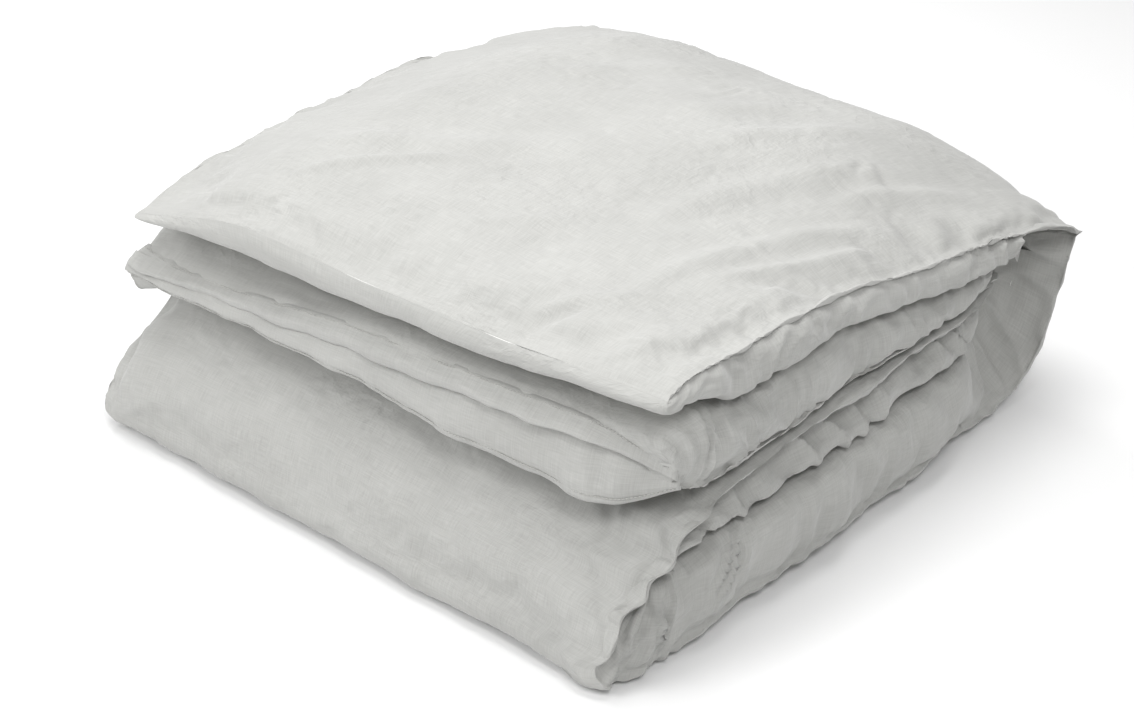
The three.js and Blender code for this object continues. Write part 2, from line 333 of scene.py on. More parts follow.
BAND_KEYS = [
    ("top_quarter", 0.0, "top"), ("top_quarter", 1.0, "top"), ("upper_wrap", 0.45, "wrap"),
    ("lower_wrap", 0.5, "wrap"), ("quarter_1", 0.10, "ground"), ("quarter_1", 1.0, "ground"),
    ("front_fold", 0.30, "fan"), ("front_fold", 0.42, "fan"), ("front_fold", 0.55, "recess"),
    ("front_fold", 0.80, "recess"), ("quarter_2", 0.10, "second"), ("quarter_2", 0.95, "second"),
    ("rear_fold", 0.5, "rear"), ("quarter_3", 0.10, "third"), ("quarter_3", 1.0, "third"),
]
SEAM_IN = {
    1: [("top_quarter", 0.0, -0.008), ("top_quarter", 0.12, -0.008), ("top_quarter", 0.3, 0.000),
        ("top_quarter", 0.9, -0.002), ("upper_wrap", 0.4, -0.006), ("upper_wrap", 1.0, 0.006),
        ("lower_wrap", 0.6, 0.012), ("quarter_1", 0.3, 0.004), ("quarter_1", 1.0, 0.004),
        ("front_fold", 0.22, 0.016), ("front_fold", 0.42, 0.026), ("front_fold", 0.52, 0.016),
        ("front_fold", 0.75, 0.004), ("quarter_2", 0.2, 0.004), ("quarter_2", 0.9, 0.006),
        ("rear_fold", 0.5, 0.026), ("quarter_3", 0.2, 0.006), ("quarter_3", 0.85, 0.002),
        ("quarter_3", 1.0, 0.012)],
    -1: [("top_quarter", 0.0, 0.036), ("top_quarter", 0.22, 0.016), ("top_quarter", 0.5, 0.008),
         ("top_quarter", 0.8, -0.002), ("top_quarter", 1.0, 0.016), ("upper_wrap", 0.35, 0.052),
         ("lower_wrap", 0.2, 0.060), ("quarter_1", 0.1, 0.030), ("quarter_1", 0.6, 0.010),
         ("front_fold", 0.3, 0.002), ("front_fold", 0.8, 0.004), ("quarter_2", 0.3, 0.012),
         ("rear_fold", 0.5, 0.040), ("quarter_3", 0.3, 0.014), ("quarter_3", 0.85, 0.006),
         ("quarter_3", 1.0, 0.004)],
}


def seam_line(s, side):
    """How far out the side seam lies along the run, with the sway of sewn and washed cloth."""
    seed = 20 if side > 0 else 40
    sway = waves(s, 0 * s, 0.13, seed, 9) * 0.0025 + waves(s, 0 * s, 0.045, seed + 1, 9) * 0.0009
    a, b = span("front_fold")
    sway_in_fold = np.sin(math.tau * (s - a) / 0.047 + 0.8 * np.sin((s - a) / 0.021))
    scallop = 0.0040 * (side > 0) * ramp(s, a + 0.06, a + 0.11) * ramp(s, b, b - 0.04) * sway_in_fold
    return HALF_WIDTH - keyed(s, SEAM_IN[side]) + sway + scallop


def base_points(s, rows, inset=0.0):
    """Grid of points of the cover along the run, before any relief."""
    side, d, v, panel = COLUMNS.T
    middle = (rows[:, :2] + rows[:, 2:]) / 2
    half = (rows[:, :2] - rows[:, 2:]) / 2
    size = np.maximum(np.hypot(half[:, 0], half[:, 1]), 1e-6)
    half = half * np.maximum(size - inset, 0.0004)[:, None] / size[:, None]
    bands = keyed(s, [(part, share, BANDS[name]) for part, share, name in BAND_KEYS])
    x = np.zeros((len(s), len(side)))
    n = np.zeros_like(x)
    for sign in (1, -1):
        seam = seam_line(s, sign)[:, None] - inset
        here = side == sign
        face, back = here & (panel > 0), here & (panel < 0)
        round_in = np.sqrt(1 - (1 - np.clip(d[face] / EDGE_BAND, 0, 1)) ** 2)
        level = bands[:, :1, 1]
        x[:, face] = sign * (seam - d[face] * seam / HALF_WIDTH)
        n[:, face] = level + (1 - level) * round_in
        shaped = np.einsum("vp,spc->svc", through(BANDS["top"], v[back]), bands)
        fullness = np.minimum(1, size / 0.02)[:, None]
        x[:, back] = sign * (seam + shaped[..., 0] * fullness) * (1 - d[back])
        n[:, back] = shaped[..., 1]
    y = middle[:, :1] + half[:, :1] * n
    z = middle[:, 1:] + half[:, 1:] * n
    return np.stack([x, y, z], axis=2)


def normals_of(points):
    """Even normals of a grid that closes on itself across the strip."""
    wrapped = np.concatenate([points, points[:, :1]], axis=1)
    diagonal_1 = wrapped[1:, 1:] - wrapped[:-1, :-1]
    diagonal_2 = wrapped[:-1, 1:] - wrapped[1:, :-1]
    faces = np.cross(diagonal_1, diagonal_2)
    faces = np.concatenate([faces[:1], faces, faces[-1:]], axis=0)
    faces = np.concatenate([faces[:, -1:], faces], axis=1)
    normal = faces[:-1, :-1] + faces[1:, :-1] + faces[:-1, 1:] + faces[1:, 1:]
    return normal / np.maximum(np.linalg.norm(normal, axis=2, keepdims=True), 1e-12)


def pleats(run, across, size, seed, slant=0.0):
    """Folds with sharp ridges and round valleys, uneven in their spacing, running across the band."""
    place = run / size + slant * across + 0.55 * waves(run, across, size * 2.3, seed, 9)
    ridge = 1 - 1.6 * np.abs(np.sin(math.pi * place)) ** 0.75
    return ridge * (0.65 + 0.35 * waves(run, across, size * 3.1, seed + 1, 8))


def part_mask(s, name, ease=0.03):
    a, b = span(name)
    return ramp(s, a - ease, a + ease) * ramp(s, b + ease, b - ease)


TOP_CREASES = [      # start, end as (x, depth), width, height, bow
    ((-0.16, 0.10), (-0.03, 0.22), 0.006, 0.0030, 0.010),
    ((-0.20, 0.16), (0.02, 0.30), 0.012, 0.0022, -0.01),
    ((0.22, 0.12), (0.30, 0.44), 0.012, 0.0035, 0.012),
    ((0.15, 0.20), (0.26, 0.55), 0.016, 0.0038, 0.014),
    ((0.26, 0.20), (0.31, 0.40), 0.008, 0.0030, -0.006),
    ((0.10, 0.34), (0.22, 0.63), 0.017, 0.0032, 0.012),
    ((0.24, 0.40), (0.31, 0.62), 0.011, 0.0035, 0.008),
    ((0.03, 0.42), (0.14, 0.64), 0.018, 0.0026, -0.010),
    ((-0.30, 0.10), (-0.26, 0.34), 0.014, 0.0020, 0.006),
    ((-0.10, 0.40), (0.02, 0.62), 0.020, 0.0020, 0.012),
    ((0.02, 0.12), (0.12, 0.20), 0.009, 0.0014, 0.0),
    ((0.16, 0.06), (0.27, 0.16), 0.010, 0.0018, 0.006),
]


def left_tip(points):
    """1 near the thin left end of the front edges, where the cloth lies flat, fading to 0."""
    x, y, z = points[..., 0], points[..., 1], points[..., 2]
    return 0.9 * ramp(x, -0.22, -0.32) * ramp(y, 0.16, 0.06) * ramp(z, 0.15, 0.17)


def relief(points, s):
    """How far the cloth stands out from its plain shape, in metres, at every point of a grid."""
    side, d, v, panel = COLUMNS.T
    x, y = points[..., 0], points[..., 1]
    run = s[:, None] + 0 * x
    band = (panel < 0) * (d == 0) * np.sin(math.pi * np.clip(v, 0, 1) ** 0.8)
    width = side * (v * 0.09 + 0.2) + 0 * x
    out = 0.0016 * waves(x, run, 0.17, 3) + 0.0006 * waves(x, run, 0.06, 4)
    out = out + 0.0014 * crumple(x, run, 0.036, 5) * (0.6 + 0.6 * waves(x, run, 0.15, 6, 8))
    out = out + 0.0004 * crumple(x, run, 0.015, 15) * (0.6 + 0.6 * waves(x, run, 0.11, 16, 8))
    top_face = ((panel > 0) * part_mask(s, "top_quarter")[:, None])
    for start, end, wide, high, bow in TOP_CREASES:
        out = out + top_face * crease(x, y, start, end, wide, 1.7 * high, bow)
    folds = {
        "top_quarter": 0.0018 * pleats(run, width, 0.034, 80, 1.2),
        "upper_wrap": 0.0125 * (1 - 0.6 * (side < 0)) * pleats(run, width, 0.042, 82, 3.5),
        "lower_wrap": 0.0060 * pleats(run, width, 0.050, 84, 5.0),
        "quarter_1": 0.0030 * pleats(run, width, 0.085, 86, 7.0),
        "front_fold": 0.0095 * pleats(run, width, 0.026, 88, 1.0),
        "quarter_2": 0.0170 * pleats(run, width, 0.052, 90, -5.0),
        "rear_fold": 0.0070 * pleats(run, width, 0.040, 92, 2.0),
        "quarter_3": 0.0045 * pleats(run, width, 0.033, 94, 5.0),
    }
    for name, fold in folds.items():
        out = out + band * part_mask(s, name)[:, None] * fold
    a, _ = span("front_fold")
    near_seam = (panel > 0) * np.exp(-np.maximum(d, 0) / 0.012)
    gathered = np.exp(-((s - a - 0.085) / 0.022) ** 2)[:, None]
    out = out + near_seam * (gathered * 0.0025 * np.sin(math.tau * run / 0.016)
                             + 0.0012 * waves(run, 0 * run, 0.024, 71, 10))
    ends = ramp(s, 0, 0.02) * ramp(s, RUN[-1], RUN[-1] - 0.02)
    return out * ends[:, None] * (1 - left_tip(points))


# ---- making objects ------------------------------------------------------------------------------
def object_from(name, verts, faces, normals=None, flat=None):
    """A mesh object; flat gives each corner its place on the flat cloth, in metres, for the weave."""
    mesh = bpy.data.meshes.new(name)
    mesh.from_pydata(verts.reshape(-1, 3).tolist(), [], faces)
    mesh.polygons.foreach_set("use_smooth", [True] * len(mesh.polygons))
    if flat is not None:
        layer = mesh.uv_layers.new(name="cloth")
        layer.uv.foreach_set("vector", flat.ravel())
    if normals is not None:
        mesh.normals_split_custom_set_from_vertices(normals.reshape(-1, 3).tolist())
    mesh.update()
    obj = bpy.data.objects.new(name, mesh)
    bpy.context.scene.collection.objects.link(obj)
    return obj


def tube(name, points, across, run, normals=None, sunken_ends=True):
    """A closed body from a grid of rings. Sunken ends close inside the body, so that nothing pokes out."""
    rings, count = points.shape[:2]
    i, j = np.meshgrid(np.arange(rings - 1), np.arange(count), indexing="ij")
    k = (j + 1) % count
    quads = np.stack([i * count + j, (i + 1) * count + j, (i + 1) * count + k, i * count + k], axis=2)
    faces = quads.reshape(-1, 4).tolist()
    around = np.append(across, across[-1] + STEP)
    u = np.stack([around[j], around[j], around[j + 1], around[j + 1]], axis=2)
    w = np.stack([run[i], run[i + 1], run[i + 1], run[i]], axis=2)
    flat = [np.stack([u, w], axis=3).reshape(-1, 2)]
    verts = [points.reshape(-1, 3)]
    for start, turn in ((0, 1), ((rings - 1) * count, -1)):
        ring = points[start // count]
        corners = []
        if sunken_ends:
            ring = inner_ring(ring)
            inner_start = sum(len(v) for v in verts)
            verts.append(ring)
            corners = [[start + c, start + (c + 1) % count, inner_start + (c + 1) % count, inner_start + c]
                       for c in range(count)]
            rungs = [[inner_start + c for c in rung] for rung in ladder(ring)]
        else:
            rungs = [[start + c, start + c + 1, start + count - 2 - c, start + count - 1 - c]
                     for c in range(count // 2 - 1)]
        for face in corners + rungs:
            faces.append(face[::turn])
            flat.append([[around[c % count], run[start // count]] for c in face])
    if normals is not None:
        ends = [np.broadcast_to(points[0].mean(axis=0) - points[1].mean(axis=0), (count, 3)),
                np.broadcast_to(points[-1].mean(axis=0) - points[-2].mean(axis=0), (count, 3))]
        ends = [end / np.maximum(np.linalg.norm(end, axis=1, keepdims=True), 1e-9) for end in ends]
        normals = np.concatenate([normals.reshape(-1, 3)] + ends)
    return object_from(name, np.concatenate(verts), faces, normals, np.concatenate(flat))


CAP_WIDTH, CAP_THICKNESS = 0.92, 0.4         # a sunken end's inner ring, as shares of the ring


def inner_ring(ring):
    """A smaller ring inside a ring: drawn in at the sides and towards the line midway between panels."""
    far = int(np.argmin(ring[:, 0]))
    x = CAP_WIDTH * ring[:, 0]
    chains = []
    for part in (ring[:far + 1], ring[far:]):
        part = part[np.argsort(part[:, 0])]
        chains.append(np.stack([np.interp(x, part[:, 0], part[:, k]) for k in (1, 2)], axis=1))
    middle = (chains[0] + chains[1]) / 2
    own = np.where((np.arange(len(ring)) <= far)[:, None], chains[0], chains[1])
    return np.concatenate([x[:, None], middle + CAP_THICKNESS * (own - middle)], axis=1)


def ladder(ring):
    """Triangles that close a flat ring, rung by rung, from the right seam to the left one."""
    far = int(np.argmin(ring[:, 0]))
    up, down, rungs = 0, len(ring), []
    while up + 1 < down - 1 or up < far:
        next_up, next_down = ring[min(up + 1, far), 0], ring[down - 1, 0]
        if (next_up >= next_down and up < far) or down - 1 <= far:
            if down - up > 1:
                rungs.append([up, up + 1, down % len(ring)])
            up += 1
        else:
            rungs.append([up, down - 1, down % len(ring)])
            down -= 1
        if up == far and down - 1 <= far:
            break
    return [r for r in rungs if len(set(r)) == 3]


# ---- the simulated cloth -------------------------------------------------------------------------
def seen_and_free(s):
    """1 where the cover is free to move under the simulation, 0 where it is sewn, folded in or hidden."""
    _, d, v, panel = COLUMNS.T
    in_band = (panel < 0) * (d == 0) * np.sin(math.pi * np.clip(v, 0, 1)) ** 0.5
    on_face = (panel > 0) * ramp(d, 0.0, 0.02)
    open_face = sum(part_mask(s, name) for name in ("top_quarter", "upper_wrap", "lower_wrap"))
    open_face = np.clip(open_face + part_mask(s, "front_fold", 0.02), 0, 1)
    ends = ramp(s, 0.004, 0.06) * ramp(s, RUN[-1], RUN[-1] - 0.05)
    free = in_band[None, :] + on_face[None, :] * open_face[:, None]
    return np.clip(free, 0, 1) * ends[:, None]


def simulate(points):
    """Lets the cloth swell under a little pressure, with spare length in it, so that it buckles."""
    free = seen_and_free(RUN) * (1 - left_tip(points - [0, FRONT, 0]))
    rows = np.arange(2 * SIM_EVERY, len(points) - 2 * SIM_EVERY, SIM_EVERY)
    cols = np.arange(0, points.shape[1], SIM_EVERY)
    start = points[rows][:, cols]
    cloth_object = tube("cloth to simulate", start, cols * STEP, RUN[rows])
    held = cloth_object.vertex_groups.new(name="held")
    weights = 1 - free[rows][:, cols].ravel()
    for level in np.unique(np.round(weights, 1)):
        near = np.flatnonzero(np.abs(weights - level) <= 0.05).tolist()
        held.add(near, float(min(level, 1.0)), "REPLACE")
    modifier = cloth_object.modifiers.new("Cloth", "CLOTH")
    cloth_set = modifier.settings
    cloth_set.quality = 4
    cloth_set.mass = 0.15
    cloth_set.tension_stiffness = cloth_set.compression_stiffness = 12
    cloth_set.shear_stiffness = 4
    cloth_set.bending_stiffness = 0.05
    cloth_set.use_pressure = True
    cloth_set.uniform_pressure_force = 2.0
    cloth_set.shrink_min = -SPARE_CLOTH
    cloth_set.vertex_group_mass = "held"
    cloth_set.pin_stiffness = 0.6
    cloth_set.effector_weights.gravity = 0
    modifier.point_cache.frame_start, modifier.point_cache.frame_end = 1, SIM_FRAMES
    scene = bpy.context.scene
    for frame_number in range(1, SIM_FRAMES + 1):
        scene.frame_set(frame_number)
    shaped = cloth_object.evaluated_get(bpy.context.evaluated_depsgraph_get())
    moved = np.empty(len(shaped.data.vertices) * 3)
    shaped.data.vertices.foreach_get("co", moved)
    moved = moved.reshape(-1, 3)[:start.shape[0] * start.shape[1]].reshape(start.shape) - start
    bpy.data.objects.remove(cloth_object)
    scene.frame_set(1)
    length = np.linalg.norm(moved, axis=2, keepdims=True)
    moved = moved * np.minimum(1, SIM_CAP / np.maximum(length, 1e-9))
    across = np.stack([np.stack([np.interp(np.arange(points.shape[1]), cols, row) for row in moved[..., c]])
                       for c in range(3)], axis=2)
    every = np.arange(len(points))
    full = np.stack([np.stack([np.interp(every, rows, column, 0, 0) for column in across[..., c].T])
                     for c in range(3)], axis=2).transpose(1, 0, 2)
    kernel = np.hanning(2 * SIM_EVERY + 1)[1:-1]
    kernel /= kernel.sum()

    def blur(line):
        return np.convolve(np.pad(line, SIM_EVERY - 1, "edge"), kernel, "valid")

    for axis in (0, 1):
        full = np.apply_along_axis(blur, axis, full)
    full *= free[..., None]
    outwards = normals_of(points)
    sunk = np.minimum(0, (full * outwards).sum(axis=2) + SIM_SINK)
    return points + full - outwards * sunk[..., None]


def cover_surface():
    points = base_points(RUN, STRIP)
    points = settle(points + normals_of(points) * relief(points, RUN)[..., None])
    points[..., 1] += FRONT
    return points


SIM_EVERY, SIM_FRAMES = 3, 16               # every third point of the grid is simulated
SPARE_CLOTH, SIM_CAP, SIM_SINK = 0.07, 0.011, 0.003
SURFACE = cover_surface()
SURFACE = simulate(SURFACE)
SURFACE[..., 2] = np.maximum(SURFACE[..., 2], 0.0006)
NORMALS = normals_of(SURFACE)
ACROSS = np.concatenate([[0], np.cumsum(np.linalg.norm(np.diff(SURFACE, axis=1), axis=2).mean(axis=0))])


# ---- cutting the strip into pieces ---------------------------------------------------------------
def station(run):
    return int(np.argmin(np.abs(RUN - run)))


def stations(first_part, last_part):
    return slice(station(span(first_part)[0]), station(span(last_part)[1]) + 1)


def cover_piece(name, first_part, last_part):
    cut = stations(first_part, last_part)
    return tube(name, SURFACE[cut], ACROSS, RUN[cut], NORMALS[cut])


def insert_piece(name, first_part, last_part):
    """The quilted insert inside one part of the cover, seen by nobody, in a few broad rings."""
    cut = stations(first_part, last_part)
    thin_out = slice(cut.start, cut.stop, max(1, int(0.012 / STEP)))
    rows, run = STRIP[thin_out], RUN[thin_out]
    points = base_points(run, rows, COVER_TO_INSERT)
    points[..., 0] *= 1 - 2 * COVER_TO_INSERT / HALF_WIDTH
    points = settle(points)[:, ::4]
    points[..., 1] += FRONT
    return tube(name, points, ACROSS[::4], run)


# ---- the opening's hems --------------------------------------------------------------------------
THREAD = 0.0006
STITCH, STITCH_PITCH = 0.0026, 0.0036
HEM_CLOTH, HEM_LENGTH = 0.0018, 0.66
UPPER_STITCH = [(-0.34, 0.183), (-0.27, 0.190), (-0.18, 0.198), (-0.08, 0.214), (0.0, 0.225), (0.10, 0.231),
                (0.20, 0.238), (0.27, 0.244), (0.30, 0.236), (0.32, 0.218), (0.335, 0.200)]
UPPER_EDGE = [(-0.34, 0.172), (-0.24, 0.179), (-0.17, 0.184), (-0.06, 0.195), (0.01, 0.202), (0.08, 0.206),
              (0.14, 0.216), (0.20, 0.222), (0.26, 0.230), (0.30, 0.224), (0.32, 0.206), (0.335, 0.190)]
LOWER_EDGE = [(-0.34, 0.162), (-0.20, 0.167), (-0.11, 0.169), (-0.05, 0.173), (0.05, 0.167), (0.10, 0.164),
              (0.20, 0.167), (0.27, 0.1665), (0.30, 0.170), (0.32, 0.178), (0.335, 0.193)]


def front_of_third(x, z):
    """How far back the third quarter's front end lies at a place and height, after it has settled."""
    rows = np.array(QUARTER_3_ROWS)
    profile = np.concatenate([rows[2:, :2], rows[:2:-1, 2:]])
    low, high = table(x, FRONT_2), table(x, FRONT_3)
    plain = 0.160 + (z - low) / (high - low) * 0.0768
    return np.interp(plain, profile[:, 1], profile[:, 0])


def upper_hem(x):
    """From its stitch line down over the front of the upper lip, a little proud of it at the edge."""
    top, low = table(x, UPPER_STITCH), table(x, UPPER_EDGE)
    t = np.linspace(0, 1, 10)[:, None]
    z = top + (low - top) * t
    sway = 0.0015 * np.sin(x * 41) * t + 0.001 * np.sin(x * 97) * t
    proud = -0.0030 + 0.0105 * np.sin(t * math.pi / 2) + sway
    return front_of_third(x, z) - proud * ramp(x, 0.34, 0.30) + corner_round(x), z


def lower_hem(x):
    """From behind the upper lip down to its own stitched edge."""
    cover, low = table(x, UPPER_EDGE), table(x, LOWER_EDGE)
    top = cover + 0.010
    t = np.linspace(0, 1, 22)[:, None]
    z = top + (low - top) * t
    dimple = 0.006 * np.exp(-((x - 0.275) / 0.009) ** 2 - ((t - 0.55) / 0.3) ** 2)
    sway = 0.0018 * np.sin(x * 35 + 1) * t + 0.0012 * np.sin(x * 83 + 2 * t) * t
    y = 0.044 - 0.0165 * np.sin(np.minimum(t * 1.25, 1) * math.pi / 2) + 0.003 * ramp(t, 0.75, 1.0)
    return y + dimple + sway + corner_round(x) + 0.016 * ramp(x, 0.29, 0.335), z


def hem_surface(profile):
    xs = np.linspace(-HALF_WIDTH + 0.010, HALF_WIDTH - 0.006, int(2 * HALF_WIDTH / STEP))
    y, z = profile(xs[None, :])
    grid = np.stack([np.broadcast_to(xs, z.shape), y + FRONT, z], axis=2).transpose(1, 0, 2)
    normal = np.cross(np.gradient(grid, axis=0), np.gradient(grid, axis=1))
    normal /= np.linalg.norm(normal, axis=2, keepdims=True)
    return xs, grid, normal * -np.sign(normal[..., 1:2])


def hem(name, profile, groove_at):
    """A strip of folded cloth along the opening, with a shallow groove where its stitches pull it in."""
    xs, grid, normal = hem_surface(profile)
    down = np.cumsum(np.r_[0, np.linalg.norm(np.diff(grid.mean(axis=0), axis=0), axis=1)])
    groove = -0.0005 * np.exp(-((down - groove_at(down[-1])) / 0.0016) ** 2)
    ruffle = 0.0005 * waves(grid[..., 0], grid[..., 2], 0.030, 61, 12)
    outer = grid + normal * (ruffle + groove[None, :])[..., None]
    inner = outer - normal * HEM_CLOTH
    ring = np.concatenate([outer, inner[:, ::-1]], axis=1)
    around = np.concatenate([down, down[-1] + HEM_CLOTH + down])
    return tube(name, ring[::-1], around, xs[::-1], sunken_ends=False)


def one_stitch():
    bpy.ops.object.select_all(action="DESELECT")
    bpy.ops.mesh.primitive_cylinder_add(vertices=6, radius=THREAD / 2, depth=STITCH,
                                        rotation=(0, math.pi / 2, 0))
    obj = bpy.context.object
    bpy.ops.object.transform_apply(location=False, rotation=True, scale=False)
    bpy.ops.object.mode_set(mode="EDIT")
    bpy.ops.mesh.select_all(action="DESELECT")
    bpy.ops.object.mode_set(mode="OBJECT")
    for face in obj.data.polygons:
        face.select = abs(face.normal.x) > 0.9
    bpy.ops.object.mode_set(mode="EDIT")
    bpy.ops.mesh.inset(thickness=THREAD * 0.2, depth=THREAD * 0.3)
    bpy.ops.object.mode_set(mode="OBJECT")
    verts = np.array([v.co for v in obj.data.vertices])
    faces = [list(f.vertices) for f in obj.data.polygons]
    bpy.data.objects.remove(obj)
    return verts, faces


def stitch_row(name, path, out):
    """Stitches of the same length, one after another along a path, each half sunk in the cloth."""
    verts, faces = one_stitch()
    step = np.linalg.norm(np.diff(path, axis=0), axis=1)
    run = np.concatenate([[0], np.cumsum(step)])
    places = np.arange(STITCH, run[-1] - STITCH, STITCH_PITCH)
    centre = np.stack([np.interp(places, run, c) for c in path.T], axis=1)
    ahead = np.stack([np.interp(places + 0.001, run, c) for c in path.T], axis=1) - centre
    ahead /= np.linalg.norm(ahead, axis=1, keepdims=True)
    up = np.stack([np.interp(places, run, c) for c in out.T], axis=1)
    up /= np.linalg.norm(up, axis=1, keepdims=True)
    side = np.cross(ahead, up)
    all_verts = (centre[:, None] + verts[None, :, :1] * ahead[:, None] + verts[None, :, 1:2] * side[:, None]
                 + verts[None, :, 2:] * up[:, None])
    all_faces = [[k * len(verts) + c for c in f] for k in range(len(places)) for f in faces]
    return object_from(name, all_verts, all_faces)


BUTTON_RADIUS, BUTTON_THICKNESS, BUTTON_RIM = 0.006, 0.0026, 0.0007
BUTTON_HOLE, BUTTON_HOLE_PLACE, BUTTON_BEHIND = 0.0008, 0.0016, 0.008


def button(name, node):
    """A moulded button with a raised rim and four holes, lying between the two hems as they settled."""
    low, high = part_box(node)
    x = (low.x + high.x) / 2
    height = (table(x, UPPER_EDGE) + table(x, UPPER_STITCH)) / 2
    front = front_of_third(x, height + BUTTON_RADIUS) + corner_round(x)
    place = (x, FRONT + front + BUTTON_BEHIND, height)
    bpy.ops.object.select_all(action="DESELECT")
    bpy.ops.mesh.primitive_cylinder_add(vertices=40, radius=BUTTON_RADIUS, depth=BUTTON_THICKNESS,
                                        location=place)
    obj = bpy.context.object
    obj.name = obj.data.name = name
    for face in obj.data.polygons:
        face.select = abs(face.normal.z) > 0.9
    bpy.ops.object.mode_set(mode="EDIT")
    bpy.ops.mesh.select_mode(type="FACE")
    bpy.ops.mesh.inset(thickness=BUTTON_RIM, depth=0)
    bpy.ops.mesh.inset(thickness=BUTTON_RIM * 0.6, depth=-BUTTON_RIM * 0.6)
    bpy.ops.object.mode_set(mode="OBJECT")
    for side_x, side_y in ((1, 1), (1, -1), (-1, 1), (-1, -1)):
        hole = (place[0] + side_x * BUTTON_HOLE_PLACE, place[1] + side_y * BUTTON_HOLE_PLACE, place[2])
        bpy.ops.mesh.primitive_cylinder_add(vertices=16, radius=BUTTON_HOLE, depth=0.01, location=hole)
        drill = bpy.context.object
        cut = obj.modifiers.new("hole", "BOOLEAN")
        cut.object = drill
        bpy.context.view_layer.objects.active = obj
        bpy.ops.object.modifier_apply(modifier=cut.name)
        bpy.data.objects.remove(drill)
    bpy.ops.object.select_all(action="DESELECT")
    obj.select_set(True)
    bpy.context.view_layer.objects.active = obj
    obj.rotation_euler.x = math.pi / 2
    bpy.ops.object.transform_apply(location=True, rotation=True, scale=False)
    bpy.ops.object.shade_smooth_by_angle(angle=math.radians(35))
    return obj


def hem_stitches(name, profile, down_share):
    _, grid, normal = hem_surface(profile)
    row = int(round(down_share * (grid.shape[1] - 1)))
    return stitch_row(name, grid[:, row] + normal[:, row] * 0.0001, normal[:, row])


# ---- materials -----------------------------------------------------------------------------------
class Nodes:
    """A node tree that is filled from left to right."""

    def __init__(self, tree):
        self.tree = tree

    def add(self, kind, inputs=None, **settings):
        node = self.tree.nodes.new(kind)
        node.location = (len(self.tree.nodes) * 170, 0)
        for key, value in settings.items():
            setattr(node, key, value)
        for key, value in (inputs or {}).items():
            if isinstance(value, bpy.types.NodeSocket):
                self.tree.links.new(value, node.inputs[key])
            else:
                node.inputs[key].default_value = value
        return node

    def math(self, operation, a, b=0.5, c=0.5):
        return self.add("ShaderNodeMath", {0: a, 1: b, 2: c}, operation=operation).outputs[0]

    def group(self, tree, **inputs):
        node = self.add("ShaderNodeGroup", node_tree=tree)
        for key, value in inputs.items():
            socket = node.inputs[key.replace("_", " ")]
            if isinstance(value, bpy.types.NodeSocket):
                self.tree.links.new(value, socket)
            else:
                socket.default_value = value
        return node.outputs


def effect(name, inputs, outputs):
    tree = bpy.data.node_groups.new(name, "ShaderNodeTree")
    for label, kind in inputs:
        tree.interface.new_socket(name=label, in_out="INPUT", socket_type=kind)
    for label, kind in outputs:
        tree.interface.new_socket(name=label, in_out="OUTPUT", socket_type=kind)
    nodes = Nodes(tree)
    return tree, nodes, nodes.add("NodeGroupInput").outputs, nodes.add("NodeGroupOutput")


def weave_effect():
    """Plain weave: threads that pass over and under, and slubs, the thick and thin places of the yarn."""
    tree, nodes, given, result = effect(
        "plain weave", [("Place", "NodeSocketVector"), ("Threads", "NodeSocketFloat")],
        [("Height", "NodeSocketFloat"), ("Tone", "NodeSocketFloat")])
    thread_place = nodes.add("ShaderNodeVectorMath", {0: given["Place"], "Scale": given["Threads"]},
                             operation="SCALE").outputs[0]
    parts = nodes.add("ShaderNodeSeparateXYZ", {0: thread_place}).outputs
    ups = [nodes.math("SINE", nodes.math("MULTIPLY", parts[i], math.pi)) for i in (0, 1)]
    over_under = nodes.math("MULTIPLY", ups[0], ups[1])
    slubs = []
    for along, across in ((0.035, 0.9), (0.9, 0.045)):
        place = nodes.add("ShaderNodeVectorMath", {0: thread_place, 1: (along, across, 1.0)},
                          operation="MULTIPLY")
        yarn = nodes.add("ShaderNodeTexNoise", {"Vector": place.outputs[0], "Scale": 1.0, "Detail": 2.0})
        slubs.append(yarn.outputs[0])
    slub = nodes.math("MULTIPLY", nodes.math("ADD", slubs[0], slubs[1]), 0.5)
    height = nodes.math("MULTIPLY_ADD", slub, 1.6, over_under)
    nodes.tree.links.new(height, result.inputs["Height"])
    nodes.tree.links.new(slub, result.inputs["Tone"])
    return tree


def crease_effect():
    """Small creases left by washing and folding."""
    tree, nodes, given, result = effect(
        "washed creases", [("Place", "NodeSocketVector"), ("Per metre", "NodeSocketFloat")],
        [("Height", "NodeSocketFloat"), ("Shade", "NodeSocketFloat")])
    bend = nodes.add("ShaderNodeTexNoise", {"Vector": given["Place"], "Scale": 18.0, "Detail": 1.0})
    shift = nodes.add("ShaderNodeVectorMath", {0: bend.outputs["Color"], "Scale": 0.02}, operation="SCALE")
    place = nodes.add("ShaderNodeVectorMath", {0: given["Place"], 1: shift.outputs[0]}, operation="ADD")
    fine = nodes.add("ShaderNodeTexNoise",
                     {"Vector": place.outputs[0], "Scale": given["Per metre"], "Detail": 3.0})
    fold = nodes.math("ABSOLUTE", nodes.math("SUBTRACT", fine.outputs[0], 0.5))
    ridge = nodes.math("SUBTRACT", 1.0, nodes.math("MINIMUM", nodes.math("MULTIPLY", fold, 7.0), 1.0))
    where = nodes.add("ShaderNodeTexNoise", {"Vector": given["Place"], "Scale": 7.0, "Detail": 1.0})
    here = nodes.add("ShaderNodeMapRange", {0: where.outputs[0], 1: 0.42, 2: 0.62}).outputs[0]
    height = nodes.math("MULTIPLY", ridge, here)
    cloudy = nodes.add("ShaderNodeTexNoise", {"Vector": given["Place"], "Scale": 11.0, "Detail": 4.0})
    nodes.tree.links.new(height, result.inputs["Height"])
    nodes.tree.links.new(cloudy.outputs[0], result.inputs["Shade"])
    return tree


WEAVE, CREASES = weave_effect(), crease_effect()


